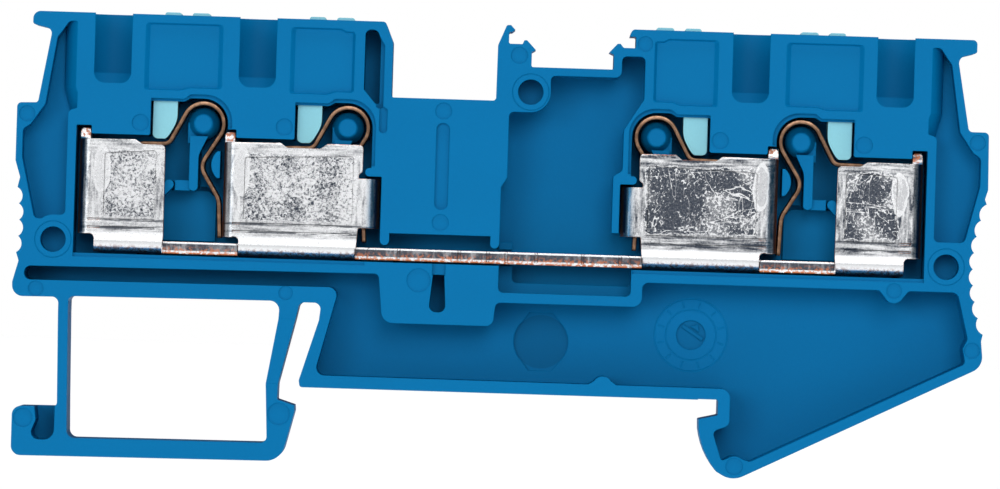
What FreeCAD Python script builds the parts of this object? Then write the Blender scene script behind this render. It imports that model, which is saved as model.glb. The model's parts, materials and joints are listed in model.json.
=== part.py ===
import FreeCAD, Part
import math
import os

# DIN rail feed-through terminal block with four push-in connections.
# Frame: X along the block, Y across its width, Z up, all in millimetres. The origin is the middle
# of the 35 mm rail, on the plane where the rail touches the housing. The open side faces -Y.
# Both ends hold the same two clamps, so most places are given as a distance from the middle and
# built once for each side: side = -1 is the end with the latch, side = 1 the end with the jaw.

# ---- Driving dimensions -------------------------------------------------------------------------
WIDTH = 6.2                     # width of one block on the rail
FRONT, REAR = -WIDTH / 2, WIDTH / 2
CLOSED_WALL = 0.8               # wall of the closed side
FLOOR = REAR - CLOSED_WALL      # bottom of the deep pockets
TOP = 28.87                     # top of both towers above the rail seat
END = 38.15                     # half the length, at the ends
RAIL_STEP = 0.05                # the ceiling of the jaw lies this much above the rail seat
OVER = 1.0                      # how far cutting shapes run past the surface they open

WIRE_X = (30.70, 19.35)         # wire axes: outer and inner clamp
WIRE_Y = -0.5
FUNNEL_R, THROAT_R = 3.0, 1.6   # wire entry at the mouth and at the cage
SHOULDER_R, NECK_R = 2.88, 2.45 # wire entry above and at the foot of its slot
SLOT_HALF, SLOT_BOTTOM = 1.45, 23.4

SHEET = 0.8                     # current bar sheet in the cages
BAR_LOW, BAR_HIGH = 10.15, 11.10
CAGE_FRONT, CAGE_REAR = -2.85, 2.15
CAGE_END = 2.4                  # outside of a cage's end wall, beyond the wire axis

SPRING_T = 0.33                 # spring strip
LOOP_IN, LOOP_Z, LOOP_R = 7.22, 20.45, 1.6   # loop centre inboard of the wire axis
RISE = math.radians(62.3)       # slope of the strip between the pressed part and the loop
PRESSED_Z = 18.78               # strip under the button
STRIP_Y = (-1.95, 1.35)         # springs and buttons across the width
BUTTON_TOP = 29.1
SHAFT_GAP = 0.1                 # play of a button in its shaft

PEG_HOLES = ((-34.97, 11.0), (2.13, 23.7), (35.12, 11.0))
PEG_HOLE_R, PEG_HOLE_DEPTH = 1.0, 2.8
PEG_R, PEG_LENGTH = 0.9, 1.4

MARK_DEPTH = 0.12               # ejector pin marks
END_FLOOR = -0.3                # bottom of the pockets at both ends

LEG_TOP = 5.3                   # where the latch legs leave the housing
OUTER_LEG_BOTTOM, INNER_LEG_BOTTOM = -1.3, 0.2


# ---- Outlines and basic solids ------------------------------------------------------------------
def outline(items, place):
    """Closed wire. An item is (a, b), a sharp corner; (a, b, r), a corner of radius r; or
    ("via", a, b), which makes the edge between the corners beside it an arc through that point."""
    corners = []
    for item in items:
        if item[0] == "via":
            corners[-1][2] = place(item[1], item[2])
        else:
            radius = item[2] if len(item) > 2 else 0.0
            corners.append([place(item[0], item[1]), radius, None])
    rounded = []
    for i, (point, radius, _) in enumerate(corners):
        if radius == 0.0:
            rounded.append((point, None, point))
            continue
        back = (corners[i - 1][0] - point).normalize()
        ahead = (corners[(i + 1) % len(corners)][0] - point).normalize()
        half = back.getAngle(ahead) / 2
        reach = radius / math.tan(half)
        inward = (back + ahead).normalize()
        middle = point + inward * (radius / math.sin(half) - radius)
        rounded.append((point + back * reach, middle, point + ahead * reach))
    edges = []
    for i, (start, middle, end) in enumerate(rounded):
        if middle is not None:
            edges.append(Part.Arc(start, middle, end).toShape())
        following = rounded[(i + 1) % len(rounded)][0]
        if corners[i][2] is not None:
            edges.append(Part.Arc(end, corners[i][2], following).toShape())
        elif end.distanceToPoint(following) > 1e-6:
            edges.append(Part.LineSegment(end, following).toShape())
    return Part.Wire(edges)


def prism(items, low, high, axis="y"):
    """Solid with the given outline, from low to high along the axis."""
    place, along = {
        "x": (lambda a, b: FreeCAD.Vector(low, a, b), FreeCAD.Vector(1, 0, 0)),
        "y": (lambda a, b: FreeCAD.Vector(a, low, b), FreeCAD.Vector(0, 1, 0)),
        "z": (lambda a, b: FreeCAD.Vector(a, b, low), FreeCAD.Vector(0, 0, 1)),
    }[axis]
    return Part.Face(outline(items, place)).extrude(along * (high - low))


def block(x0, x1, y0, y1, z0, z1):
    low_x = min(x0, x1)
    return Part.makeBox(abs(x1 - x0), y1 - y0, z1 - z0, FreeCAD.Vector(low_x, y0, z0))


def disc(x, z, radius, y0, y1):
    """Cylinder across the block."""
    return Part.makeCylinder(radius, y1 - y0, FreeCAD.Vector(x, y0, z), FreeCAD.Vector(0, 1, 0))


def upright(x, low_radius, high_radius, z0, z1):
    """Cylinder or cone around the wire axis at x."""
    base = FreeCAD.Vector(x, WIRE_Y, z0)
    if low_radius == high_radius:
        return Part.makeCylinder(low_radius, z1 - z0, base)
    return Part.makeCone(low_radius, high_radius, z1 - z0, base)


def moved(items, offset, scale):
    """The same outline with every first coordinate a turned into offset + scale * a."""
    placed = []
    for item in items:
        if item[0] == "via":
            placed.append(("via", offset + scale * item[1], item[2]))
        else:
            placed.append((offset + scale * item[0],) + tuple(item[1:]))
    return placed


def on_side(items, side):
    """An outline on one side of the middle, from distances to the middle."""
    return moved(items, 0.0, side)


def inboard(items, wire_x, side):
    """An outline beside a wire axis, from distances inboard of that axis."""
    return moved(items, side * wire_x, -side)


def strip(path, thickness, y0, y1):
    """Flat strip bent along a path of (x, z, r), r being the bend's radius at mid thickness."""
    points = [FreeCAD.Vector(p[0], 0, p[1]) for p in path]
    ways = [(b - a).normalize() for a, b in zip(points, points[1:])]
    normals = [FreeCAD.Vector(-way.z, 0, way.x) for way in ways]
    half = thickness / 2
    rims = ([], [])
    for i, point in enumerate(points):
        before = normals[max(i - 1, 0)]
        after = normals[min(i, len(normals) - 1)]
        shift = (before + after) * (half / (1 + before.dot(after)))
        radius = path[i][2] if len(path[i]) > 2 else 0.0
        turn = before.x * after.z - before.z * after.x
        grow = -half if turn > 0 else half
        for rim, sign in zip(rims, (1, -1)):
            corner = point + shift * sign
            if radius:
                rim.append((corner.x, corner.z, radius + grow * sign))
            else:
                rim.append((corner.x, corner.z))
    return prism(rims[0] + rims[1][::-1], y0, y1)


# ---- Housing ------------------------------------------------------------------------------------
def grip(first_z, pitch, count, waist_x, waist_z, radius, depth, side):
    """Finger grip: sharp tips on a hollow arc, with a scallop between each two of them."""
    tips = []
    for i in range(count):
        z = first_z + i * pitch
        x = waist_x + radius - math.sqrt(radius ** 2 - (z - waist_z) ** 2)
        tips.append((x, z))
    items = []
    for (x, z), (next_x, next_z) in zip(tips, tips[1:]):
        items.append((side * x, z))
        items.append(("via", side * ((x + next_x) / 2 - depth), (z + next_z) / 2))
    items.append((side * tips[-1][0], tips[-1][1]))
    return items


def housing_outline():
    """Round the moulding from the top of the jaw end, over the top and down to the rail."""
    jaw_grip = grip(5.8, 1.275, 9, 37.22, 10.9, 14.45, 0.32, 1)
    latch_grip = grip(9.9, 1.275, 5, 37.67, 12.3, 18.0, 0.34, -1)
    jaw_end = [(38.0, 16.4, 0.2), (END + 0.08, 17.15, 0.3), (END, 21.65, 0.35), (36.58, 21.65, 0.35),
               (35.55, 27.45, 0.6), (37.03, 27.85, 0.2), (37.03, TOP, 0.35)]
    marker_groove = [(9.95, TOP, 0.3), (9.78, 28.3), (10.27, 28.3, 0.12), (10.27, 27.4, 0.12),
                     (9.3, 27.4, 0.2), (9.05, 27.72, 0.1), (8.82, 27.7, 0.1), (8.2, 27.02),
                     (8.56, 26.84), (8.56, 25.67, 0.15), (2.12, 25.67, 0.15), (2.12, 26.84),
                     (2.42, 27.02), (1.72, 27.76, 0.1), (1.5, 27.76, 0.1), (1.38, 27.45, 0.1),
                     (0.3, 27.45, 0.15), (0.3, 28.36, 0.1), (0.52, 28.36), (0.76, 28.56),
                     (0.42, 28.92, 0.1), (0.1, 28.9, 0.15)]
    bridge_notch = [(-0.55, 27.3, 0.4), (-0.58, 22.95, 0.25), (-8.78, 22.95, 0.2),
                    (-8.78, 27.3, 0.5), (-9.42, TOP, 0.3)]
    latch_end = [(-37.05, TOP, 0.6), (-37.05, 27.85, 0.2), (-35.5, 27.5, 0.5), (-36.48, 21.7, 0.25),
                 (-38.1, 21.65, 0.35), (-38.1, 17.1, 0.3), (-37.7, 15.8, 0.2)]
    flange = [(-37.62, 9.25, 0.2), (-38.06, 7.6, 0.3), (-38.06, 6.45, 0.85), (-34.4, 6.5, 0.5)]
    leg_roots = [(-34.4, LEG_TOP), (-33.62, LEG_TOP), (-33.62, 6.58, 0.4), (-17.03, 6.72, 0.75),
                 (-17.1, LEG_TOP), (-15.76, LEG_TOP), (-15.48, 6.66, 0.5), (-13.78, 6.66, 0.5),
                 (-13.92, 5.3, 0.5), (-15.36, 0.55, 0.3), (-15.28, 0.0, 0.25)]
    jaw = [(16.0, 0.0), (16.0, RAIL_STEP), (17.57, RAIL_STEP, 0.15), (17.57, -1.18, 0.1),
           (16.08, -1.53, 0.08), (16.1, -2.3), ("via", 16.62, -4.1), (17.6, -5.6),
           (18.85, -6.32, 1.75), (38.25, 3.27, 1.25), (38.04, 5.25, 0.3)]
    upward = latch_grip[::-1]
    return (jaw_grip + jaw_end + marker_groove + bridge_notch + latch_end + upward
            + flange + leg_roots + jaw)


def funnel(wire_x, side):
    """Round wire entry. At its mouth it breaks out through the open side, which gives the slot."""
    x = side * wire_x
    mouth = upright(x, SHOULDER_R, FUNNEL_R, SLOT_BOTTOM + 0.85, TOP + OVER)
    shoulder = upright(x, NECK_R, SHOULDER_R, SLOT_BOTTOM, SLOT_BOTTOM + 0.85)
    neck = upright(x, THROAT_R, NECK_R, 20.6, SLOT_BOTTOM)
    throat = upright(x, THROAT_R, THROAT_R, 19.0, 20.6)
    slot = prism([(x - SLOT_HALF, TOP + OVER), (x + SLOT_HALF, TOP + OVER),
                  (x + SLOT_HALF, SLOT_BOTTOM, 0.85), (x - SLOT_HALF, SLOT_BOTTOM, 0.85)],
                 FRONT - OVER, WIRE_Y - FUNNEL_R + 1.2)
    return [mouth, shoulder, neck, throat, slot]


def button_shaft(wire_x, side):
    """Shaft of a push button: wide at the bottom, so that the button can't leave at the top."""
    y0, y1 = STRIP_Y[0] - SHAFT_GAP, STRIP_Y[1] + SHAFT_GAP
    head = prism(inboard([(3.85, 23.5), (7.6, 23.5), (7.6, TOP + OVER), (3.85, TOP + OVER)],
                         wire_x, side), y0, y1)
    foot = prism(inboard([(3.1, 22.0), (7.6, 22.0), (7.6, 23.6), (3.1, 23.6)],
                         wire_x, side), y0, y1)
    return [head, foot]


def clamp_room(side):
    """Open room for both clamps of one side, with the posts and ribs that stand in it."""
    room = prism(on_side([
        (33.4, 10.0), (33.4, 20.05, 0.1), (32.2, 20.05, 0.1), (32.2, 19.4, 0.1),
        (27.63, 19.4, 0.15), (27.63, 22.12, 0.1), (25.0, 22.12, 0.3), (24.55, 22.4, 0.3),
        (21.53, 22.4, 1.95), (21.53, 20.05), (20.85, 20.05, 0.1), (20.85, 19.4, 0.1),
        (16.3, 19.4, 0.15), (16.3, 22.12, 0.1), (13.65, 22.12, 0.3), (13.2, 22.4, 0.3),
        (10.18, 22.4, 1.95), (10.18, 17.35), (10.65, 17.35, 0.3), (10.65, 16.7, 0.3),
        (9.35, 16.7, 0.1), (9.35, 10.0)], side), FRONT - OVER, FLOOR)
    lips = [prism(on_side([(far, 20.2), (far, 22.32, 0.1), (far - 2.65, 22.32, 0.4),
                           (far - 3.1, 22.7, 0.4), (near, 22.7, 2.1), (near, low), (near + 0.5, low),
                           (near + 0.5, 20.2)], side), FRONT - OVER, FRONT + 0.7)
            for far, near, low in ((27.63, 21.22, 20.1), (16.3, 9.93, 17.5))]
    standing = []
    for wire_x in WIRE_X:
        loop_x = side * (wire_x - LOOP_IN)
        drum = disc(loop_x, LOOP_Z, 1.24, -0.6, FLOOR)
        cone = Part.makeCone(0.74, 1.24, 1.6, FreeCAD.Vector(loop_x, -2.2, LOOP_Z),
                             FreeCAD.Vector(0, 1, 0))
        core = disc(loop_x, LOOP_Z, 0.67, -2.4, FLOOR)
        rib = prism(inboard([(6.2, 19.45), (7.6, 19.45), (6.9, 18.0, 1.6), (6.9, 15.15, 0.34),
                             (6.2, 15.15, 0.34)], wire_x, side), -2.0, FLOOR)
        neck = prism(inboard([(6.0, 20.5), (7.2, 20.5), (7.2, 18.9), (6.0, 18.9)],
                             wire_x, side), -1.0, FLOOR)
        low_rib = prism(inboard([(7.05, 15.5), (7.7, 15.5), (7.7, 18.4), (7.05, 18.4)],
                                wire_x, side), 1.5, FLOOR)
        cross_rib = prism(inboard([(5.1, 15.15), (6.3, 15.15), (6.3, 15.95), (5.1, 15.95)],
                                  wire_x, side), -1.5, FLOOR)
        low_floor = prism(inboard([(1.3, 11.2), (8.3, 11.2), (8.3, 14.6), (7.7, 15.16),
                                   (4.6, 15.16), (1.3, 14.0)], wire_x, side), 1.6, FLOOR)
        standing += [drum, cone, core, rib, neck, low_rib, cross_rib, low_floor]
    knob_x = side * 26.05
    knob = disc(knob_x, 15.6, 0.36, -2.0, FLOOR)
    tail = prism(on_side([(25.8, 15.35), (26.2, 15.9), (27.2, 14.9), (26.7, 14.4)], side),
                 -2.0, FLOOR)
    backstop = prism(on_side([(22.08, 18.3), (22.3, 18.3), ("via", 22.76, 17.25), (22.3, 16.2),
                              (22.08, 16.2)], side), -2.4, FLOOR)
    pads = [block(side * a, side * b, 0.2, FLOOR, 9.9, BAR_LOW)
            for a, b in ((28.5, 31.0), (22.5, 25.0), (13.0, 18.0))]
    ledge = block(side * 10.5, side * 33.4, FRONT - OVER, FRONT + 0.35, 9.7, 10.1)
    return [room.cut(standing + [knob, tail, backstop] + pads), ledge] + lips


def end_pocket(side):
    """Lightening pocket at one end, with the round wall of the outer wire entry inside it."""
    wire = side * WIRE_X[0]
    low_corner = [(36.5, 12.92, 0.5)]
    if side < 0:
        low_corner = [(36.5, 12.6, 0.4), (35.9, 12.6), ("via", 35.5, 12.84), (34.97, 12.92)]
    pocket = prism(on_side([
        (33.4, 28.17, 0.35), (34.2, 28.17, 0.45), (34.75, 27.35, 0.5), (35.1, 26.9, 0.5),
        (35.9, 21.6, 0.6), (37.0, 20.0, 0.6), (37.6, 19.6, 0.5), (37.6, 17.4, 0.9)]
        + low_corner + [(34.08, 12.92, 0.4), (34.08, 21.15, 0.4), (33.4, 21.35, 0.15)],
        side), FRONT - OVER, END_FLOOR)
    wall = upright(wire, FUNNEL_R + 0.85, FUNNEL_R + 0.85, 23.0, TOP)
    taper = upright(wire, FUNNEL_R + 0.2, FUNNEL_R + 0.85, 20.6, 23.0)
    return [pocket.cut([wall, taper])]


def sunk_panel(outer, inner, side, depth=0.35):
    """Shallow panel with sloped edges on the wall in front of a button shaft."""
    def ring(items, y):
        return outline(on_side(items, side), lambda a, b: FreeCAD.Vector(a, y, b))
    slope = Part.makeLoft([ring(outer, FRONT), ring(inner, FRONT + depth)], True, True)
    lip = prism(on_side(outer, side), FRONT - OVER, FRONT)
    return [slope, lip]


def sunk_panels(side):
    outer_panel = sunk_panel(
        [(22.1, 28.22, 0.3), (28.2, 28.22, 0.3), (28.2, 22.95, 0.2), (25.3, 22.95, 0.3),
         (24.6, 23.15, 0.3), (22.1, 23.15, 0.25)],
        [(22.45, 28.1, 0.2), (27.85, 28.1, 0.2), (27.85, 23.05, 0.15), (25.35, 23.05, 0.3),
         (24.65, 23.25, 0.3), (22.45, 23.25, 0.15)], side)
    inner_panel = sunk_panel(
        [(11.74, 28.0, 0.25), (12.45, 28.0, 0.2), (12.85, 28.22, 0.2), (16.8, 28.22, 0.3),
         (16.8, 22.98, 0.2), (13.8, 22.98, 0.3), (13.2, 23.2, 0.3), (11.74, 23.2, 0.25)],
        [(11.95, 27.9, 0.2), (12.5, 27.9, 0.2), (12.9, 28.1, 0.2), (16.45, 28.1, 0.2),
         (16.45, 23.08, 0.15), (13.85, 23.08, 0.3), (13.25, 23.3, 0.3), (11.95, 23.3, 0.2)], side)
    return outer_panel + inner_panel


def middle_pockets():
    """Pocket beside the bridge shafts, the bar's channel, and the window under the bar."""
    hole_x, hole_z = PEG_HOLES[1]
    ring = 1.57
    diagonal = ring * math.sqrt(0.5)
    main = prism([
        (0.48, 22.12, 0.4), (hole_x, hole_z - ring),
        ("via", hole_x + diagonal, hole_z - diagonal), (hole_x + ring, hole_z),
        (3.66, 25.05, 0.4), (9.22, 25.05, 0.5), (9.22, 26.75, 0.4), (11.05, 26.75, 0.4),
        (11.05, 23.4, 0.5), (9.52, 20.95, 0.8), (9.52, 17.75, 0.4), (8.8, 17.3, 0.3),
        (8.8, 10.6), (0.02, 10.6), (0.02, 16.15, 0.2), (0.48, 16.95, 0.2)],
        FRONT - OVER, FLOOR)
    stub = block(0.02, 1.05, 1.4, FLOOR, 11.3, 11.85)
    pass_right = block(8.7, 9.5, FRONT - OVER, FLOOR, 10.6, 12.85)
    channel = block(-9.6, 9.6, FRONT - OVER, FLOOR, 10.0, 11.7)
    toes = [disc(x, 11.7, 0.35, FRONT, FLOOR) for x in (-8.98, -0.34)]
    shaft_feet = block(-8.62, -0.68, FRONT - OVER, FLOOR, 11.3, 12.3)
    channel_pads = [block(x, x + 1.0, 0.2, FLOOR, 9.9, BAR_LOW) for x in (-9.3, -0.9)]
    window = prism([(0.04, 10.1), (10.45, 10.1), (10.45, 7.9, 0.4), (0.04, 7.9, 0.4)],
                   FRONT - OVER, 0.4)
    window_deep = prism([(1.1, 10.1), (10.45, 10.1), (10.45, 8.68, 0.3), (1.1, 8.68, 0.4)],
                        FRONT - OVER, FLOOR)
    return [main.cut([stub] + toes), pass_right, channel.cut(channel_pads + toes + [stub]),
            shaft_feet.cut(toes), window, window_deep]


def bridge_shafts():
    """Two shafts for plug-in bridges, open from the top to the bar, with a wall between them."""
    shafts = [block(x, x + 3.4, -2.2, 1.7, 12.2, TOP) for x in (-8.6, -4.1)]
    groove = prism([(-5.17, 21.06, 0.5), (-4.12, 21.06, 0.5), (-4.12, 14.25, 0.5),
                    (-5.17, 14.25, 0.5)], FRONT - OVER, FRONT + 0.4)
    lead = block(-5.17, -4.13, FRONT - OVER, FRONT + 0.6, 9.1, 10.1)
    keyhole = prism([(-5.1, 9.15), (-4.2, 9.15), (-4.02, 6.2, 0.55), (-5.38, 6.2, 0.55)],
                    FRONT - OVER, FLOOR)
    return shafts + [groove, lead, keyhole]


def tower_strip():
    """Deep narrow pocket and two small steps beside the inner panel of the latch side."""
    deep = prism([(-10.97, 28.22, 0.45), (-10.0, 28.22, 0.5), (-9.73, 27.4, 0.5),
                  (-9.73, 22.42, 0.1), (-10.05, 22.42, 0.1), (-10.97, 23.5)],
                 FRONT - OVER, FLOOR)
    step = prism([(-10.0, 28.0), (-9.4, 27.0, 0.3), (-9.4, 21.6, 0.28), (-9.97, 22.2)],
                 FRONT - OVER, FRONT + 1.2)
    groove = prism([(-9.68, 22.4), (-9.05, 22.0, 0.2), (-9.05, 20.12, 0.31), (-9.68, 20.12, 0.31)],
                   FRONT - OVER, FRONT + 0.45)
    return [deep, step, groove]


def lower_pocket():
    """Large pocket above the rail, with the groove that lets the latch side bend."""
    return [prism([
        (-13.0, 9.06), (-9.35, 9.09, 0.4), (-8.97, 5.25, 0.9), (-0.3, 5.25, 0.6),
        (-0.12, 7.12, 0.45), (11.35, 7.12, 0.75), (11.35, 9.05, 0.5), (29.95, 9.03, 0.4),
        (30.42, 8.45), ("via", 31.1, 8.04), (31.78, 8.45), (32.25, 9.03, 0.4),
        (36.1, 9.03, 0.55), (37.0, 5.4, 0.5), (36.62, 4.65, 0.4), (36.87, 3.45, 0.4),
        (20.2, -4.78, 0.45), (19.6, -4.58), ("via", 19.0, -4.38), (18.4, -4.58),
        (17.95, -4.75, 0.2), (17.2, -2.45, 0.4), (18.5, -1.95, 0.55), (18.5, 0.9, 0.75),
        (9.55, 0.92, 0.3), (9.15, 1.2), ("via", 8.48, 1.58), (7.8, 1.2), (7.35, 0.92, 0.3),
        (-14.2, 0.97, 0.65), (-12.42, 7.92, 0.65), (-37.15, 7.78, 0.5), (-37.15, 8.88, 0.5)],
        FRONT - OVER, FLOOR)]


def floor_marks():
    """On the pocket's floor: a round seat with two flats, and a mould insert with plain ticks."""
    seat = disc(3.55, 4.1, 2.17, FLOOR - OVER, FLOOR + 0.45)
    flats = prism([(2.55, 6.4), (4.45, 6.4), (5.1, 5.6), (5.1, 2.6), (4.45, 1.8), (2.6, 1.8),
                   (2.0, 2.6), (2.0, 5.6)], FLOOR - OVER, FLOOR + 0.45)
    dial_x, dial_z = 15.38, 5.0
    centre = disc(dial_x, dial_z, 1.16, FLOOR - OVER, FLOOR + 0.25)
    arrow = prism([(-0.95, 0.1), (0.95, 0.1), (0.95, 0.36), (-0.95, 0.36)], FLOOR, REAR)
    tip = prism([(-0.4, 0.55), (0.4, 0.55), (0.0, 1.0)], FLOOR, REAR)
    for piece in (arrow, tip):
        piece.rotate(FreeCAD.Vector(), FreeCAD.Vector(0, 1, 0), 33)
        piece.translate(FreeCAD.Vector(dial_x, 0, dial_z))
    rings = []
    for radius in (2.0, 2.88):
        outer = disc(dial_x, dial_z, radius + 0.05, FLOOR - OVER, FLOOR + 0.04)
        rings.append(outer.cut(disc(dial_x, dial_z, radius - 0.05, FLOOR - OVER, FLOOR + 0.04)))
    ticks = []
    for i in range(12):
        tick = block(2.2, 2.68, FLOOR - OVER, FLOOR + 0.04, -0.06, 0.06)
        tick.rotate(FreeCAD.Vector(), FreeCAD.Vector(0, 1, 0), 30 * i + 15)
        tick.translate(FreeCAD.Vector(dial_x, 0, dial_z))
        ticks.append(tick)
    return [seat.fuse(flats), centre.cut([arrow, tip])] + rings + ticks


def peg_holes():
    holes = []
    for x, z in PEG_HOLES:
        holes.append(disc(x, z, PEG_HOLE_R, FRONT - OVER, FRONT + PEG_HOLE_DEPTH))
        ring = disc(x, z, 1.46, FRONT - OVER, FRONT + 0.05)
        holes.append(ring.cut(disc(x, z, 1.40, FRONT - OVER, FRONT + 0.05)))
    return holes


def ejector_marks(marks):
    return [disc(x, z, radius, FRONT - OVER, FRONT + MARK_DEPTH) for x, z, radius in marks]


def make_housing():
    body = prism(housing_outline(), FRONT, REAR)
    cuts = middle_pockets() + bridge_shafts() + tower_strip() + lower_pocket() + floor_marks()
    marks = [(-4.65, 13.25, 0.65), (-4.65, 22.0, 0.65), (-6.2, 8.67, 0.93), (-36.2, 7.1, 0.6),
             (-16.6, 7.35, 0.55), (31.1, 9.0, 0.6), (1.15, 26.55, 0.66), (11.0, 27.75, 0.6),
             (19.0, -5.15, 0.68), (37.35, 4.5, 0.62)]
    for side in (-1, 1):
        cuts += clamp_room(side) + end_pocket(side) + sunk_panels(side)
        marks += [(side * 37.3, 20.8, 0.62), (side * 28.4, 20.35, 0.66), (side * 17.1, 20.35, 0.66)]
        for wire_x in WIRE_X:
            cuts += funnel(wire_x, side) + button_shaft(wire_x, side)
    body = body.cut(cuts)
    body = body.cut(peg_holes() + ejector_marks(marks))
    pegs = [disc(x, z, PEG_R, REAR - 0.3, REAR + PEG_LENGTH) for x, z in PEG_HOLES]
    return body.fuse(pegs).removeSplitter()


# ---- Rail latch ---------------------------------------------------------------------------------
def make_latch_leg_outer():
    return prism([(-34.4, LEG_TOP), (-33.62, LEG_TOP), (-33.5, OUTER_LEG_BOTTOM),
                  (-34.27, OUTER_LEG_BOTTOM)], FRONT, REAR)


def make_latch_leg_inner():
    return prism([(-17.1, LEG_TOP), (-15.76, LEG_TOP), (-16.98, INNER_LEG_BOTTOM),
                  (-17.94, INNER_LEG_BOTTOM)], FRONT, REAR)


def make_latch_foot():
    foot = prism([
        (-34.27, OUTER_LEG_BOTTOM), (-34.25, -2.12, 0.35), (-37.77, -2.15, 0.7),
        (-37.77, -6.02, 0.75), (-16.6, -5.84, 1.5), (-15.62, -1.9, 0.4), (-15.66, -1.44, 0.06),
        (-17.0, -1.02, 0.1), (-16.98, INNER_LEG_BOTTOM), (-17.94, INNER_LEG_BOTTOM),
        (-17.72, -4.45, 0.5), (-33.42, -4.55, 0.6), (-33.5, OUTER_LEG_BOTTOM)], FRONT, REAR)
    pull = prism([(-34.42, -1.6), (-34.42, -4.75, 0.85), (-36.5, -4.75, 0.6), (-35.9, -3.2, 0.3),
                  (-36.1, -1.6)], FRONT - OVER, FLOOR)
    marks = ejector_marks([(-16.85, -2.15, 0.88), (-36.9, -3.05, 0.75)])
    return foot.cut([pull] + marks)


# ---- Current bar --------------------------------------------------------------------------------
def cage(front_plate, floor, end_x, inner_x, round_inner, coin, side):
    """Cage folded up from the bar: floor, front plate, end wall, rear plate, with rolled bends."""
    solids = [prism(on_side(front_plate, side), CAGE_FRONT, CAGE_FRONT + SHEET),
              block(side * floor[0], side * floor[1], CAGE_FRONT, 0.0, BAR_LOW, BAR_HIGH),
              block(side * (end_x - SHEET), side * end_x, CAGE_FRONT, CAGE_REAR, 11.6, 18.95),
              prism(on_side([(end_x - SHEET, 18.9), (end_x - SHEET, 19.85, 0.2), (end_x, 19.85, 0.3),
                             (end_x, 18.9)], side), -1.5, 1.2),
              block(side * (end_x - 3.6), side * end_x, CAGE_REAR - 0.6, CAGE_REAR, 11.6, 18.3)]
    whole = solids[0].fuse(solids[1:])
    low, high = sorted((side * inner_x, side * end_x))
    bend = 0.78
    inner_bend = bend if round_inner else 0.0
    left_bend, right_bend = (bend, inner_bend) if side < 0 else (inner_bend, bend)
    plan = prism([(low, CAGE_FRONT, left_bend), (high, CAGE_FRONT, right_bend), (high, 3.0),
                  (low, 3.0)], BAR_LOW - 1, 21.0, "z")
    section = prism([(CAGE_FRONT, BAR_LOW, 0.9), (CAGE_FRONT, 21.0), (3.0, 21.0), (3.0, BAR_LOW)],
                    low - 1, high + 1, "x")
    whole = whole.common(plan).common(section)
    shallow = CAGE_FRONT + 0.05
    plate_low, plate_high = sorted((side * coin[1], side * (end_x - 0.8)))
    scores = [block(plate_low, plate_high, CAGE_FRONT - OVER, shallow, z, z + 0.14)
              for z in (12.0, 12.62)]
    field = prism(on_side([(coin[0], 17.9, 0.2), (coin[1], 18.2, 0.2), (coin[1], 13.05, 0.1),
                           (coin[0], 13.05, 0.1)], side), CAGE_FRONT - OVER, shallow)
    return whole.cut(scores + [field])


def bar_face(low, high):
    """Upright front edge of the bar between two cages, rounded at its upper corners."""
    return prism([(low, BAR_LOW), (low, BAR_HIGH, 0.28), (high, BAR_HIGH, 0.28), (high, BAR_LOW)],
                 CAGE_FRONT + 0.35, 0.0)


def make_current_bar():
    bar = block(-31.8, 31.8, CAGE_FRONT + 0.95, CAGE_REAR, BAR_LOW, BAR_HIGH)
    outer_plate = [(33.1, 11.55), (33.1, 19.0, 0.12), (28.75, 19.05, 0.3), (28.2, 18.68, 0.3),
                   (26.4, 18.68, 0.35), (26.36, 11.5, 0.3), (26.5, BAR_LOW), (31.8, BAR_LOW),
                   (31.8, 11.55, 0.35)]
    inner_plate = [(21.75, 11.65), (21.75, 19.05, 0.12), (17.35, 19.12, 0.3), (16.85, 18.75, 0.3),
                   (14.2, 18.75, 0.3), (13.7, 19.14, 0.3), (10.86, 19.14, 0.3),
                   (10.86, 17.05, 0.12), (11.15, 16.8, 0.12), (11.15, 16.5), (9.5, 16.5),
                   (9.5, 12.6), (11.1, 12.6, 0.1), (11.28, BAR_LOW), (20.45, BAR_LOW),
                   (20.45, 11.65, 0.35)]
    folded = [bar_face(-10.35, 10.35)]
    for side in (-1, 1):
        folded.append(cage(outer_plate, (26.5, 31.8), WIRE_X[0] + CAGE_END, 26.36, False,
                           (31.1, 27.1), side))
        folded.append(cage(inner_plate, (11.28, 20.45), WIRE_X[1] + CAGE_END, 9.5, True,
                           (20.1, 11.6), side))
        folded.append(block(side * 9.5, side * 10.2, -2.2, 1.2, 12.6, 16.5))
        folded.append(bar_face(*sorted((side * 20.5, side * 26.1))))
    nicks = [block(x, x + 0.22, CAGE_FRONT, CAGE_FRONT + 0.75, BAR_LOW + 0.15, BAR_HIGH + 0.1)
             for x in (-7.95, -3.2, -0.95, 0.5, 2.85, 6.5, 9.45)]
    bridge_slots = [block(x, x + 2.2, -0.9, 0.3, BAR_LOW - 0.1, BAR_HIGH + 0.1)
                    for x in (-8.0, -3.5)]
    return bar.fuse(folded).cut(nicks + bridge_slots).removeSplitter()


# ---- Clamping springs and buttons ---------------------------------------------------------------
def spring_path():
    """Strip from the rising flank, over the loop and down to the backstop, in inboard places."""
    loop_top = LOOP_Z + LOOP_R
    reach = LOOP_R * math.tan(RISE / 2)
    corner = LOOP_IN - reach
    start = (corner - reach * math.cos(RISE), loop_top - reach * math.sin(RISE))
    elbow_in, elbow_z = 7.03, 17.1
    away = math.hypot(LOOP_IN - elbow_in, LOOP_Z - elbow_z)
    lean = math.atan2(LOOP_IN - elbow_in, LOOP_Z - elbow_z) + math.asin(LOOP_R / away)
    back_low = LOOP_Z - LOOP_R * math.tan(lean / 2)
    return [start, (corner, loop_top, LOOP_R), (LOOP_IN + LOOP_R, loop_top, LOOP_R),
            (LOOP_IN + LOOP_R, back_low, LOOP_R), (elbow_in, elbow_z, 1.2), (8.6, 14.5, 1.8),
            (8.74, 11.5)]


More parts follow.
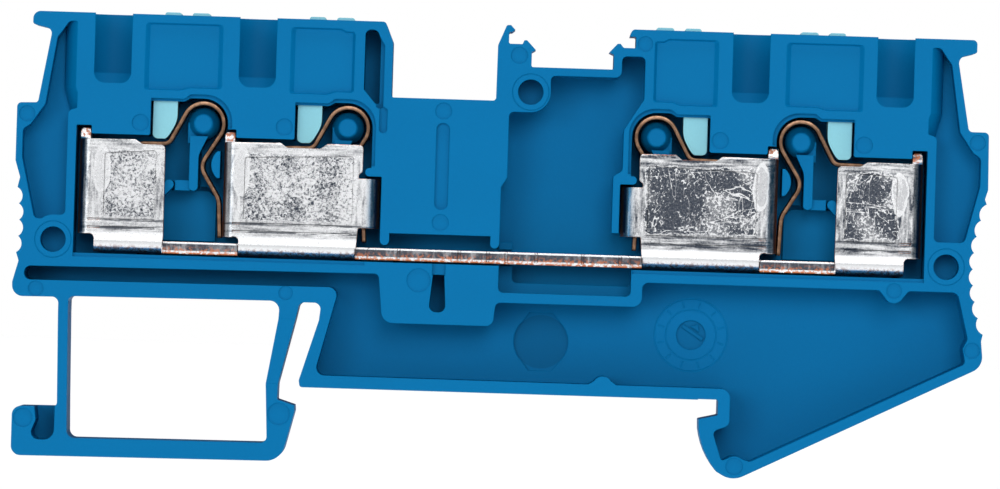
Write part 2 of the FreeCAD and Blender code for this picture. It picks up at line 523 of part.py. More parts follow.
def clamp_leg_path():
    """Strip from the rising flank down to the pressed part, and on to the edge on the wire."""
    start, corner = spring_path()[:2]
    knee = corner[0] - (corner[1] - PRESSED_Z) / math.tan(RISE)
    return [start, (knee, PRESSED_Z, 0.7), (2.25, PRESSED_Z - 0.02, 0.8), (-1.4, 15.0)]


def make_spring(wire_x, side):
    return strip(inboard(spring_path(), wire_x, side), SPRING_T, *STRIP_Y)


def make_clamp_leg(wire_x, side):
    return strip(inboard(clamp_leg_path(), wire_x, side), SPRING_T, *STRIP_Y)


def make_button(wire_x, side):
    """Head with a groove for the screwdriver, and the finger that presses the spring down."""
    slot_low = BUTTON_TOP - 0.9
    return prism(inboard([
        (3.25, 19.17, 0.4), (3.25, 23.4), (3.95, 23.4), (3.95, BUTTON_TOP, 0.2),
        (5.25, BUTTON_TOP, 0.2), (5.25, slot_low), (6.1, slot_low), (6.1, BUTTON_TOP, 0.2),
        (7.5, BUTTON_TOP, 0.2), (7.5, 24.0, 0.1), (5.15, 24.0, 0.3), (5.15, 20.55, 2.0),
        (4.5, 19.4, 1.4), (4.24, 19.17, 0.2)], wire_x, side), *STRIP_Y)


def main():
    shapes = {
        "housing": make_housing(),
        "latch_leg_outer": make_latch_leg_outer(),
        "latch_leg_inner": make_latch_leg_inner(),
        "latch_foot": make_latch_foot(),
        "current_bar": make_current_bar(),
    }
    clamps = [(WIRE_X[0], -1), (WIRE_X[1], -1), (WIRE_X[1], 1), (WIRE_X[0], 1)]
    for number, (wire_x, side) in enumerate(clamps, start=1):
        shapes[f"spring_{number}"] = make_spring(wire_x, side)
        shapes[f"clamp_leg_{number}"] = make_clamp_leg(wire_x, side)
        shapes[f"button_{number}"] = make_button(wire_x, side)
    os.makedirs("parts", exist_ok=True)
    for name, shape in shapes.items():
        box = shape.BoundBox
        print(f"{name}: {len(shape.Solids)} solid, {shape.Volume:.2f} mm3, valid {shape.isValid()},"
              f" X {box.XMin:.2f} {box.XMax:.2f} Y {box.YMin:.2f} {box.YMax:.2f}"
              f" Z {box.ZMin:.2f} {box.ZMax:.2f}")
        shape.exportStep(f"parts/{name}.step")


main()
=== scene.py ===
import json
import math

import bmesh
import bpy
from bpy.props import FloatProperty, FloatVectorProperty, IntProperty, PointerProperty
from mathutils import Matrix, Vector


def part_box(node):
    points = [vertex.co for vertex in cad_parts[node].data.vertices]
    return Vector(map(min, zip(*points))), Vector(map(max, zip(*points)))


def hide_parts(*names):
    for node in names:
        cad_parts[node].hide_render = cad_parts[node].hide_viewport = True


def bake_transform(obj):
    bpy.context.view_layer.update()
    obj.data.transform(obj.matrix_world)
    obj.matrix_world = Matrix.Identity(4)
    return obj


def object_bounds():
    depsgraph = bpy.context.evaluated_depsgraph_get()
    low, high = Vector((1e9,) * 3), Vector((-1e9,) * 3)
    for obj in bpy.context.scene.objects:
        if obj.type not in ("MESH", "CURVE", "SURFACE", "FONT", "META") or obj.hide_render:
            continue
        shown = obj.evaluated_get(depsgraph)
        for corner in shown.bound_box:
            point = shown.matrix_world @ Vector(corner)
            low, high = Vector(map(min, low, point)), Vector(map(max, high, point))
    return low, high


bl_info = {
    "name": "Rail Terminal Block",
    "version": (1, 0, 0),
    "blender": (4, 5, 0),
    "location": "View3D > Sidebar > Terminal Block",
    "description": "Finishes, springs, latch and stage for a rail-mounted terminal block",
    "category": "Object",
}

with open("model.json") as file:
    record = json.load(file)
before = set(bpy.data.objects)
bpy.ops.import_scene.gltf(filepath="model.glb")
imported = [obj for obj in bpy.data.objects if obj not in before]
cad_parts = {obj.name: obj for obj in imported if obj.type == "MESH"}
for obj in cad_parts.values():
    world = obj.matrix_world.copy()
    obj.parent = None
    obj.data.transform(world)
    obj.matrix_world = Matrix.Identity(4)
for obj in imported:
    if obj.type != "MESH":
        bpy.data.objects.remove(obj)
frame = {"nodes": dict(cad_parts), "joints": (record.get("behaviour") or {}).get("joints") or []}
CAD_LOW, CAD_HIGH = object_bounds()
MM = 0.001
TINY = 1e-7  # metres: points closer than this count as one
CLAMPS = (1, 2, 3, 4)


def joint_of(child):
    """The joint that moves a body."""
    return next(j for j in frame["joints"] if j["child"] == child)


# ---- Shader maths -------------------------------------------------------------------------------
class Value:
    """One output socket of a finish. Python's operators on it add Math nodes."""

    def __init__(self, finish, socket):
        self.finish = finish
        self.socket = socket

    def __add__(self, other):
        return self.finish.math("ADD", self, other)

    def __sub__(self, other):
        return self.finish.math("SUBTRACT", self, other)

    def __rsub__(self, other):
        return self.finish.math("SUBTRACT", other, self)

    def __mul__(self, other):
        return self.finish.math("MULTIPLY", self, other)

    def __abs__(self):
        return self.finish.math("ABSOLUTE", self)

    __radd__ = __add__
    __rmul__ = __mul__

    def ramp(self, low, high):
        """0 at low, 1 at high, and smooth between them. Low may be the larger one."""
        return self.finish.node(
            "ShaderNodeMapRange",
            {"interpolation_type": "SMOOTHSTEP"},
            {"Value": self, "From Min": low, "From Max": high},
        )

    def between(self, low, high, soft):
        """1 from low to high, fading to 0 over the distance soft outside them."""
        return self.ramp(low - soft, low) * self.ramp(high + soft, high)


class Finish:
    """A material with its node tree."""

    def __init__(self, name):
        self.material = bpy.data.materials.new(name)
        self.material.use_nodes = True
        self.tree = self.material.node_tree
        self.shader = self.tree.nodes["Principled BSDF"]

    def node(self, kind, settings=None, sockets=None, output=0):
        """Adds a node: first its settings, then the values or links of its sockets."""
        made = self.tree.nodes.new(kind)
        for name, value in (settings or {}).items():
            setattr(made, name, value)
        for name, value in (sockets or {}).items():
            self.feed(made.inputs[name], value)
        return Value(self, made.outputs[output])

    def feed(self, socket, value):
        if isinstance(value, Value):
            self.tree.links.new(value.socket, socket)
        else:
            socket.default_value = value

    def math(self, operation, *values):
        return self.node("ShaderNodeMath", {"operation": operation}, dict(enumerate(values)))

    def largest(self, first, *others):
        for other in others:
            first = self.math("MAXIMUM", first, other)
        return first

    def mix(self, share, first, second):
        """Colour between first, at share 0, and second, at share 1."""
        return self.node("ShaderNodeMix", {"data_type": "RGBA"}, {0: share, 6: first, 7: second}, 2)

    def tint(self, colour, factor):
        """Colour times a factor."""
        start = colour if isinstance(colour, Value) else tuple(colour)[:3]
        return self.node("ShaderNodeVectorMath", {"operation": "SCALE"}, {0: start, "Scale": factor})

    def place(self):
        """Position in the object's own coordinates, in metres."""
        return self.node("ShaderNodeTexCoord", output="Object")

    def axes(self, vector):
        """The three parts of a vector."""
        parts = self.node("ShaderNodeSeparateXYZ", sockets={0: vector}).socket.node
        return [Value(self, socket) for socket in parts.outputs]

    def millimetres(self, place):
        """The three parts of a place, in millimetres."""
        return self.axes(self.stretched(place, (1 / MM, 1 / MM, 1 / MM)))

    def stretched(self, vector, scale, turn=(0.0, 0.0, 0.0)):
        return self.node(
            "ShaderNodeMapping", {"vector_type": "POINT"},
            {"Vector": vector, "Rotation": turn, "Scale": scale},
        )

    def noise(self, vector, size, detail=2.0, roughness=0.5, distortion=0.0):
        """Noise whose lumps are about size metres across."""
        return self.node(
            "ShaderNodeTexNoise", None,
            {"Vector": vector, "Scale": 1 / size, "Detail": detail, "Roughness": roughness,
             "Distortion": distortion},
        )

    def lines(self, vector, size, width, distortion=0.6):
        """Thin wandering lines, as fine scratches: 1 on the line."""
        field = self.noise(vector, size, 3.0, 0.55, distortion)
        return abs(field - 0.5).ramp(width, width * 0.3)

    def edges(self, radius):
        """(1 along sharp edges, the normal rounded over them)."""
        rounded = self.node("ShaderNodeBevel", {"samples": 6}, {"Radius": radius})
        true = self.node("ShaderNodeNewGeometry", output="True Normal")
        flat = self.node("ShaderNodeVectorMath", {"operation": "DOT_PRODUCT"}, {0: rounded, 1: true},
                         "Value")
        return (1.0 - flat).ramp(0.02, 0.25), rounded

    def bump(self, height, distance, normal, strength=1.0):
        return self.node(
            "ShaderNodeBump", None,
            {"Height": height, "Distance": distance, "Strength": strength, "Normal": normal},
        )

    def set(self, **sockets):
        """Feeds the surface's sockets, with _ for a space in their names."""
        for name, value in sockets.items():
            self.feed(self.shader.inputs[name.replace("_", " ")], value)
        return self.material


# ---- Settings -----------------------------------------------------------------------------------
def length(name, description, default):
    return FloatProperty(name=name, description=description, default=default, unit="LENGTH",
                         precision=5)


def share(name, description, default):
    return FloatProperty(name=name, description=description, default=default, min=0.0, max=1.0,
                         subtype="FACTOR")


def colour(name, description, default):
    return FloatVectorProperty(name=name, description=description, default=default, size=4,
                               min=0.0, max=1.0, subtype="COLOR")


class PlasticLook(bpy.types.PropertyGroup):
    blue: colour("Blue", "Colour of the housing", (0.0, 0.128, 0.313, 1.0))
    cyan: colour("Cyan", "Colour of the push buttons", (0.235, 0.535, 0.615, 1.0))
    grain: length("Grain", "Size of the grain of the mould's surface", 0.00016)
    edge: length("Edge", "Radius of the rounding of sharp edges", 0.00009)
    roughness: share("Roughness", "Roughness of the moulded faces", 0.46)


class MetalLook(bpy.types.PropertyGroup):
    tin: colour("Tin", "Colour of the bright tin plating", (0.30, 0.304, 0.31, 1.0))
    # The dark end of the plating's tone: dark mottling, and painted dark reflection on the polished
    # fields.
    dark_tin_and_reflection: colour("Dull", "Colour of the plating's dark mottling", (0.018, 0.022, 0.030, 1.0))
    # Painted shade and painted blue reflection of the housing, where the plating turns away.
    shade: colour("Shade", "Colour of the plating where it turns away", (0.012, 0.06, 0.11, 1.0))
    copper: colour("Copper", "Colour of the bare cut edges", (0.25, 0.082, 0.035, 1.0))
    spring: colour("Spring", "Colour of the heat-tinted spring steel", (0.115, 0.067, 0.042, 1.0))
    # Painted shade along the edges of the spring strip, where they turn away.
    edge_shade: colour("Burnt", "Colour along the edges of the spring strip", (0.03, 0.018, 0.012, 1.0))


class SpringShape(bpy.types.PropertyGroup):
    thickness: length("Thickness", "Thickness of the strip", 0.00033)
    radius: length("Loop radius", "Radius of the loop at mid thickness", 0.0016)
    rounding: length("Rounding", "Rounding of the strip's edges", 0.00006)
    step: length("Step", "Longest piece of the strip's mesh", 0.0002)


class LatchShape(bpy.types.PropertyGroup):
    slices: IntProperty(name="Slices", description="Slices of each bending leg", default=16, min=2,
                        max=64)


class StageLook(bpy.types.PropertyGroup):
    floor: colour("Floor", "Colour of the floor", (0.93, 0.935, 0.94, 1.0))
    drop: length("Drop", "From the lowest point of the block down to the floor", 0.06)
    distance: length("Distance", "From the camera to the open side of the block", 0.74)
    width: length("View width", "Width that the camera sees at the open side", 0.07843)
    across: length("View across", "From the block's middle to the middle of the view", 0.000089)
    height: length("View height", "Height of the middle of the view", 0.01168)
    roll: FloatProperty(name="Roll", description="How far the camera is turned about its view",
                        default=math.radians(1.8), subtype="ANGLE")


def settings():
    return bpy.context.scene.terminal_block


# ---- Finishes -----------------------------------------------------------------------------------
# Places and lengths in the finishes are in millimetres; sizes of noise and edges are in metres.
DIAL = 15.38, 5.0
SEAT = 3.55, 4.1
POCKET_FLOOR = 2.0, 2.2

# The current bar's marks: spans outwards from the block's middle, and heights.
OUTER_FIELD, INNER_FIELD, FIELD_HEIGHTS = (27.2, 31.1), (11.6, 20.1), (13.1, 18.0)
OUTER_COIN, INNER_COIN, COIN_HEIGHTS = (26.95, 31.3), (11.5, 20.3), (11.9, 18.4)
LOWER_SCORE, UPPER_SCORE = (12.0, 12.14), (12.62, 12.76)
INNER_OVAL, OUTER_OVAL, OVAL_HEIGHT = 20.4, 31.3, 16.8
CAGE_GAP = 20.5, 26.4
NUB_FOOT = 19.0


def floor_inserts(made, place):
    """Tone of the mould's two inserts: lighter on the frosted dial's ring, darker on its core, and
    painted shade on the smooth seat.

    It holds for all that lies deeper than the pocket's floor, so the closed side has it too.
    """
    x, y, z = made.millimetres(place)

    def ring(centre, inner, outer):
        right, top = x - centre[0], z - centre[1]
        return (right * right + top * top).between(inner ** 2, outer ** 2, 0.15)

    frosted = ring(DIAL, 1.22, 2.9) * 0.10
    core = ring(DIAL, 0.1, 1.1) * 0.08
    # The smooth seat is darkened: painted shade.
    smooth = ring(SEAT, 0.1, 2.1) * 0.22
    return 1.0 + y.ramp(*POCKET_FLOOR) * (frosted - core - smooth)


def moulded_plastic(name, base, inserts=False):
    """Matt moulded plastic with a fine eroded grain, faint flow marks and a painted highlight along
    sharp edges.
    """
    look = settings().plastic
    made = Finish(name)
    place = made.place()
    edge, normal = made.edges(look.edge)
    grain = made.noise(place, look.grain, 3.0, 0.6)
    flow = made.noise(made.stretched(place, (0.6, 1.0, 1.6)), 0.009, 2.0, 0.45)
    shade = (0.95 + grain * 0.1) * (0.95 + flow * 0.1)
    if inserts:
        shade = shade * floor_inserts(made, place)
    body = made.tint(tuple(base), shade)
    # Sharp edges are lightened towards this colour: a painted highlight.
    wear_and_highlight = made.tint(tuple(base), 1.35)
    return made.set(
        Base_Color=made.mix(edge * 0.55, body, wear_and_highlight),
        Roughness=look.roughness - 0.06 + grain * 0.12,
        Normal=made.bump(grain, 0.000012, normal, 0.5),
        Specular_IOR_Level=0.03,
    )


class BarMap:
    """The values that the parts of the current bar's finish share."""

    def __init__(self, made):
        self.made = made
        self.place = made.place()
        self.x, self.y, self.z = made.millimetres(self.place)
        self.away = abs(self.x)
        self.latch_side = self.x.ramp(4, -4)
        self.edge, self.normal = made.edges(0.00008)
        facing = made.node("ShaderNodeNewGeometry", output="Normal")
        self.facing_x, _, self.facing_z = made.axes(facing)
        self.crumbs = self.noise(0.00019, 3.0, 0.62, 0.8)
        self.specks = self.noise(0.00014, 2.0, 0.6)
        self.clouds = self.noise(0.0022, 3.0)
        self.broken = self.noise(0.00028, 3.0, 0.6)
        self.wander = (self.noise(0.0008, 3.0) - 0.5) * (0.9 - self.latch_side * 0.3)
        gaps = self.away.ramp(11.4, 11.25) + self.away.between(*CAGE_GAP, 0.05)
        self.open_bar = gaps * self.z.ramp(11.2, 11.1)

    def noise(self, size, detail=2.0, roughness=0.5, distortion=0.0, stretch=None):
        vector = self.made.stretched(self.place, stretch) if stretch else self.place
        return self.made.noise(vector, size, detail, roughness, distortion)


def on_plates(across, up, outer, inner, heights, soft):
    """1 on the cages' front plates: in the outer or the inner span, and between two heights."""
    spans = across.between(*outer, soft) + across.between(*inner, soft)
    return spans * up.between(*heights, soft)


def latch_field(bar):
    """Tone of the matt fields of the latch side: curly grey mottling with fine scratches."""
    lines = bar.made.lines
    curls = bar.made.largest(lines(bar.place, 0.0007, 0.045, 1.8), lines(bar.place, 0.0004, 0.04, 1.2))
    slant = bar.made.stretched(bar.place, (1.0, 1.0, 2.2), (0.0, 0.7, 0.0))
    grey = 0.46 + (bar.crumbs - 0.5) * 4.2 + (bar.clouds - 0.5) * 2.0
    return bar.made.largest(grey + curls * 0.45, lines(slant, 0.0040, 0.010))


def jaw_field(bar):
    """Tone of the smooth fields of the jaw side: dark, a painted reflection in the polish, with worn
    patches, flecks and scratches.
    """
    lines = bar.made.lines
    steep = bar.made.stretched(bar.place, (2.4, 1.0, 1.0), (0.0, -0.35, 0.0))
    level = bar.made.stretched(bar.place, (0.5, 1.0, 2.0), (0.0, 0.2, 0.0))
    scratches = bar.made.largest(lines(steep, 0.0046, 0.006), lines(level, 0.0052, 0.007))
    # The dark base of these fields is a painted dark reflection.
    dark = bar.specks.ramp(0.40, 0.75) * 0.14 + bar.clouds.ramp(0.50, 0.66) * 0.24
    flecks = (bar.crumbs + (bar.clouds - 0.5) * 0.42).ramp(0.565, 0.62)
    return bar.made.largest(dark, flecks * 1.1, scratches)


def border_tone(bar):
    """Tone round the fields: brushed along the plate, and up and down beside the fields."""
    rows = bar.noise(0.00042, 3.0, 0.6, stretch=(0.16, 1.0, 1.6))
    columns = bar.noise(0.00042, 3.0, 0.6, stretch=(1.6, 1.0, 0.22))
    brushed = rows + (columns - rows) * bar.z.between(13.0, 17.7, 0.5)
    tone = 0.46 + bar.latch_side * 0.36 + (brushed - 0.5) * (3.2 - bar.latch_side * 0.8)
    return tone + (bar.specks - 0.5) + (bar.clouds - 0.5)


def rubbed_ovals(bar):
    """Tone of the worn ovals beside the fields, with a brighter rim on the jaw side."""
    nearest = bar.made.math("MINIMUM", abs(bar.away - INNER_OVAL), abs(bar.away - OUTER_OVAL))
    beside = nearest + bar.wander * 0.5
    rise = bar.z - OVAL_HEIGHT
    spot = beside * beside * 2.4 + rise * rise * 0.3 + (bar.clouds - 0.5) * 2.0
    rim = spot.between(0.8, 1.0, 0.2) * (1.0 - bar.latch_side * 0.6)
    wear_and_highlight = 0.55 + bar.specks * 0.3 + rim * 0.5 + bar.latch_side * 0.2
    return spot.ramp(1.25, 0.95) * wear_and_highlight


def plate_tone(bar, field):
    """Brightness of the plating on the cages, 0 dark to 1 bright, with painted reflection in it. Field
    is 1 in the fields.
    """
    polished = jaw_field(bar)
    pitted = polished + (latch_field(bar) - polished) * bar.latch_side
    border = border_tone(bar)
    ridge = (field * (1.0 - field)).ramp(0.12, 0.24) * bar.specks.ramp(0.34, 0.52)
    flat = border + (pitted - border) * field
    tone = bar.made.largest(flat, rubbed_ovals(bar), ridge * 0.95)
    dashes = bar.noise(0.0005, stretch=(0.3, 1.0, 2.0)).ramp(0.42, 0.56)
    level = bar.z + bar.wander * 0.15
    # Painted shade in the score lines: dark dashes along them.
    score_shade = level.between(*LOWER_SCORE, 0.06) + level.between(*UPPER_SCORE, 0.06)
    return tone * (1.0 - score_shade * dashes * 0.8)


def bar_tone(bar):
    """Brightness of the sheared edge of the bar between the cages: dark, with painted highlights along
    its top and bottom rims.
    """
    smear = bar.noise(0.0005, 3.0, 0.6, stretch=(1.0, 1.0, 0.22))
    patch = bar.noise(0.0011, 3.0, 0.6)
    # Bright top and bottom rims: painted highlights.
    rim = bar.made.largest(bar.z.ramp(10.92, 11.0), bar.z.ramp(10.46, 10.38) * 0.8)
    inside = 0.03 + smear.ramp(0.52, 0.74) * 0.32 + patch.ramp(0.50, 0.68) * 0.22
    return bar.made.largest(inside, rim * (0.55 + smear))


def plating(bar, tone):
    """Colour of the tin by its tone, with painted highlights on the rolled bends, the side plates, the
    low band and the nubs.
    """
    look = settings().metal
    # Painted highlights: the low band, the rolled bends, the side plates and the nubs are brightened
    # here.
    low = bar.z.ramp(11.9, 11.5)
    tone = tone + (1.0 - tone) * low
    tone = tone + (bar_tone(bar) - tone) * bar.open_bar
    sides = abs(bar.facing_x).ramp(0.1, 0.7) * (0.4 + bar.latch_side * 0.6)
    rolled = bar.z.ramp(11.1, 10.7) * (1.0 - bar.open_bar) + sides
    nubs = bar.z.ramp(NUB_FOOT - 0.1, NUB_FOOT + 0.1)
    bright = bar.made.tint(tuple(look.tin), 1.0 + rolled * 1.5 + low * 0.35 + nubs * 0.8)
    return bar.made.mix(tone, tuple(look.dark_tin_and_reflection), bright)


def shaded(bar, plated):
    """The plating with painted shade and painted blue reflection on the side plates and wings and
    under the rolled bends.
    """
    shade = tuple(settings().metal.shade)
    streaks = bar.noise(0.0004, 3.0, 0.6, stretch=(1.0, 1.0, 0.15))
    inner_cage = bar.away.between(21.3, 22.0, 0.5) * (0.7 - bar.latch_side * 0.4)
    outboard = bar.away.ramp(32.3, 32.9) + inner_cage
    wing = bar.away.ramp(10.7, 9.9) * bar.z.between(12.5, 16.6, 0.1)
    turned = (outboard + wing) * (0.45 + streaks)
    plated = bar.made.mix(turned * bar.z.between(11.7, 19.1, 0.1), plated, shade)
    under = (bar.z + (streaks - 0.5) * 0.3).ramp(10.38, 10.2) * (1.0 - bar.open_bar)
    return bar.made.mix(under * 0.9, plated, shade)


def bare_copper(bar, coin):
    """1 where copper shows: on cut edges outside the coined area, on nubs and under the bar."""
    rims = bar.edge * (1.0 - coin) * bar.broken.ramp(0.30, 0.50)
    tops = bar.facing_z.ramp(0.5, 0.9) * bar.z.ramp(18.2, 18.4)
    behind = bar.y.ramp(-1.9, -2.1) * bar.z.ramp(10.2, 10.6)
    sides = abs(bar.facing_x).ramp(0.6, 0.95) * behind
    worn_nub = bar.edge * 1.4 + bar.broken.ramp(0.44, 0.56) * 0.9
    nubs = bar.z.ramp(NUB_FOOT, NUB_FOOT + 0.2) * worn_nub
    streaked = bar.z.ramp(10.9, 10.4) * bar.broken.ramp(0.47, 0.58) * 0.75
    bottom = bar.open_bar * bar.z.ramp(10.32, 10.24) * bar.broken.ramp(0.38, 0.5)
    return bar.made.largest(rims, tops, sides, nubs, streaked, bottom)


def tinned_copper():
    """Bright tin plating on copper: mottled and brushed flats, scratches, bare cut edges, and painted
    reflection, highlights and shade.
    """
    look = settings().metal
    made = Finish("tinned copper")
    bar = BarMap(made)
    across, up = bar.away + bar.wander, bar.z + bar.wander
    field = on_plates(across, up, OUTER_FIELD, INNER_FIELD, FIELD_HEIGHTS, 0.3)
    coin = on_plates(bar.away, bar.z, OUTER_COIN, INNER_COIN, COIN_HEIGHTS, 0.1)
    plated = shaded(bar, plating(bar, plate_tone(bar, field)))
    outline = bar.edge * coin * bar.broken.ramp(0.45, 0.6)
    plated = made.mix(outline * 0.7, plated, tuple(look.dark_tin_and_reflection))
    bare = bare_copper(bar, coin)
    return made.set(
        Base_Color=made.mix(bare, plated, tuple(look.copper)),
        Metallic=1.0,
        Roughness=0.24 + bar.crumbs * 0.08 + bare * 0.15,
        Normal=made.bump(bar.crumbs * (0.3 + field * 0.7), 0.00001, bar.normal, 0.5),
    )


def spring_steel():
    """Heat-tinted strip, with painted highlights over the loop and in streaks along it, and painted
    shade along its edges.
    """
    look = settings().metal
    made = Finish("spring steel")
    place = made.place()
    height = made.millimetres(place)[2]
    edge, normal = made.edges(0.00005)
    tint = made.noise(place, 0.0012, 3.0, 0.6)
    long_grain = made.stretched(place, (1.0, 0.2, 1.0))
    fine = made.noise(long_grain, 0.00012, 2.0)
    # Lighter streaks along the strip: painted highlights.
    line = made.noise(long_grain, 0.0005, 2.0).ramp(0.44, 0.60)
    # Lighter over the top of the loop: a painted highlight.
    loop_highlight = 0.75 + height.ramp(21.3, 22.1) * 0.85
    base = made.tint(tuple(look.spring), (0.55 + tint * 0.4 + fine * 0.2 + line * 0.45) * loop_highlight)
    return made.set(
        # The strip's edges are darkened: painted shade.
        Base_Color=made.mix(edge * 0.5, base, tuple(look.edge_shade)),
        Metallic=1.0,
        Roughness=0.30 + fine * 0.16,
        Normal=made.bump(fine, 0.000006, normal, 0.4),
    )


def pale_floor():
    made = Finish("pale floor")
    cloud = made.noise(made.place(), 0.4, 2.0)
    return made.set(
        Base_Color=made.tint(tuple(settings().stage.floor), 0.985 + cloud * 0.03),
        Roughness=0.85,
    )


FINISHES = {}


def finish_named(name, make, *values):
    if name not in FINISHES:
        FINISHES[name] = make(*values)
    return FINISHES[name]


def housing_plastic():
    look = settings().plastic
    return finish_named("housing", moulded_plastic, "blue housing plastic", look.blue, True)


def dress(piece, material):
    """Gives every material slot of a piece the same finish."""
    if not piece.material_slots:
        piece.data.materials.append(material)
    for slot in piece.material_slots:
        slot.material = material


# ---- Bending pieces -----------------------------------------------------------------------------
def add_mesh(name, mesh):
    piece = bpy.data.objects.new(name, mesh)
    bpy.context.scene.collection.objects.link(piece)
    return piece


def sliced_copy(node, name, slices):
    """Copy of an upright CAD node, cut across so that it can bend between its ends."""
    low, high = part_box(node)
    work = bmesh.new()
    work.from_mesh(frame["nodes"][node].data)
    for i in range(1, slices):
        cut = low.lerp(high, i / slices)
        geometry = work.verts[:] + work.edges[:] + work.faces[:]
        bmesh.ops.bisect_plane(work, geom=geometry, plane_co=cut, plane_no=(0, 0, 1), dist=TINY)
    mesh = bpy.data.meshes.new(name)
    work.to_mesh(mesh)
    work.free()
    return add_mesh(name, mesh)


def rounded_path(corners, step):
    """Points along straight runs and arcs. A corner is (point, radius), in the plane of X and Z."""
    points = [corners[0][0]]
    for before, (corner, radius), after in zip(corners, corners[1:], corners[2:]):
        back = (before[0] - corner).normalized()
        ahead = (after[0] - corner).normalized()
        half = back.angle(ahead) / 2
        reach = radius / math.tan(half)
        centre = corner + (back + ahead).normalized() * (radius / math.sin(half))
        start, end = corner + back * reach, corner + ahead * reach
        turn = math.pi - 2 * half
        count = max(3, math.ceil(radius * turn / step))
        arms = start - centre, end - centre
        for i in range(count + 1):
            done = i / count
            arm = arms[0] * math.sin((1 - done) * turn) + arms[1] * math.sin(done * turn)
            points.append(centre + arm / math.sin(turn))
    points.append(corners[-1][0])
    dense = [points[0]]
    for start, end in zip(points, points[1:]):
        gap = (end - start).length
        if gap < TINY:
            continue
        count = max(1, math.ceil(gap / step))
        dense += [start.lerp(end, i / count) for i in range(1, count + 1)]
    return dense


def strip_section(thickness, y_low, y_high, rounding):
    """Section of a strip with rounded edges, as (offset from mid thickness, y)."""
    half = thickness / 2
    pieces = 3
    section = []
    corners = ((half, y_high, 0), (-half, y_high, 90), (-half, y_low, 180), (half, y_low, 270))
    for across, along, first in corners:
        centre = (across - math.copysign(rounding, across),
                  along - math.copysign(rounding, along - (y_low + y_high) / 2))
        for i in range(pieces + 1):
            angle = math.radians(first + 90 / pieces * i)
            section.append((centre[0] + rounding * math.cos(angle),
                            centre[1] + rounding * math.sin(angle)))
    return section


def sweep(name, path, section):
    """Closed mesh of a section carried along a path in the plane of X and Z."""
    work = bmesh.new()
    rings = []
    for i, point in enumerate(path):
        way = path[min(i + 1, len(path) - 1)] - path[max(i - 1, 0)]
        normal = Vector((-way.z, 0, way.x)).normalized()
        rings.append([work.verts.new(point + normal * across + Vector((0, along, 0)))
                      for across, along in section])
    for ring, following in zip(rings, rings[1:]):
        for i in range(len(section)):
            j = (i + 1) % len(section)
            work.faces.new((ring[i], ring[j], following[j], following[i]))
    work.faces.new(rings[0][::-1])
    work.faces.new(rings[-1])
    bmesh.ops.recalc_face_normals(work, faces=work.faces)
    for face in work.faces:
        face.smooth = len(face.verts) == 4
    mesh = bpy.data.meshes.new(name)
    work.to_mesh(mesh)
    work.free()
    return add_mesh(name, mesh)


def spring_line(centre, side, radius, step):
    """Line of one spring strip: from the edge on the wire, over the loop, to the backstop.

    Its corners are in millimetres from the loop's centre, towards the block's middle and up.
    """
    def at(inboard, up, corner_radius=0.0):
        place = centre + Vector((-side * inboard * MM, 0, up * MM))
        return place, corner_radius * MM

    loop = radius / MM
    rise = math.radians(62.3)
    corner = -loop * math.tan(rise / 2)
    shoulder = -1.67
    knee = corner - (loop - shoulder) / math.tan(rise)
    elbow = (-0.19, -3.35)
    lean = math.atan2(-elbow[0], -elbow[1]) + math.asin(loop / math.hypot(*elbow))
    line = [at(-8.62, -5.45), at(-4.97, -1.69, 0.8), at(knee, shoulder, 0.7), at(corner, loop, loop),
            at(loop, loop, loop), at(loop, -loop * math.tan(lean / 2), loop), at(*elbow, 1.2),
            at(1.38, -5.95, 1.8), at(1.52, -8.95)]
    return rounded_path(line, step)


# ---- Operators ----------------------------------------------------------------------------------
class MakeHousing(bpy.types.Operator):
    """Give the housing its moulded blue plastic"""

    bl_idname = "terminal_block.make_housing"
    bl_label = "Housing"

    def execute(self, context):
        dress(frame["nodes"]["housing"], housing_plastic())
        return {"FINISHED"}


class MakeRailLatch(bpy.types.Operator):
    """Finish the latch foot and build the two legs that bend when it is pulled"""

    bl_idname = "terminal_block.make_rail_latch"
    bl_label = "Rail latch"

    def execute(self, context):
        dress(frame["nodes"]["latch_foot"], housing_plastic())
        for node in ("latch_leg_outer", "latch_leg_inner"):
            leg = sliced_copy(node, node + "_bending", settings().latch.slices)
            dress(leg, housing_plastic())
            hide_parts(node)
            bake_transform(leg)
        return {"FINISHED"}


class MakeCurrentBar(bpy.types.Operator):
    """Give the current bar its tin plating, scratches and bare edges"""

    bl_idname = "terminal_block.make_current_bar"
    bl_label = "Current bar"

    def execute(self, context):
        dress(frame["nodes"]["current_bar"], tinned_copper())
        return {"FINISHED"}


class MakeSprings(bpy.types.Operator):
    """Build the four clamping springs, each one strip that bends at its loop"""

    bl_idname = "terminal_block.make_springs"
    bl_label = "Clamping springs"

    def execute(self, context):
        shape = settings().spring
        steel = finish_named("spring", spring_steel)
        for number in CLAMPS:
            body = f"clamping_leg_{number}"
            centre = Vector(joint_of(body)["pos_m"])
            side = math.copysign(1, centre.x)
            low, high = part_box(f"spring_{number}")
            line = spring_line(centre, side, shape.radius, shape.step)
            section = strip_section(shape.thickness, low.y, high.y, shape.rounding)
            spring = sweep(f"clamping_spring_{number}", line, section)
            dress(spring, steel)
            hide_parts(f"spring_{number}", f"clamp_leg_{number}")
            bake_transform(spring)
        return {"FINISHED"}


class MakeButtons(bpy.types.Operator):
    """Give the push buttons their pale plastic"""

    bl_idname = "terminal_block.make_buttons"
    bl_label = "Push buttons"

    def execute(self, context):
        look = settings().plastic
        plastic = finish_named("button", moulded_plastic, "pale button plastic", look.cyan)
        for number in CLAMPS:
            dress(frame["nodes"][f"button_{number}"], plastic)
        return {"FINISHED"}


# Name, the side it shines from, power, and spread in degrees.
LIGHTS = (
    ("front light", (0.10, -0.95, 0.25), 1.3, 24),
    ("side light", (-0.35, -0.93, 0.06), 1.1, 24),
    ("top light", (0.1, -0.1, 1.0), 2.6, 40),
)


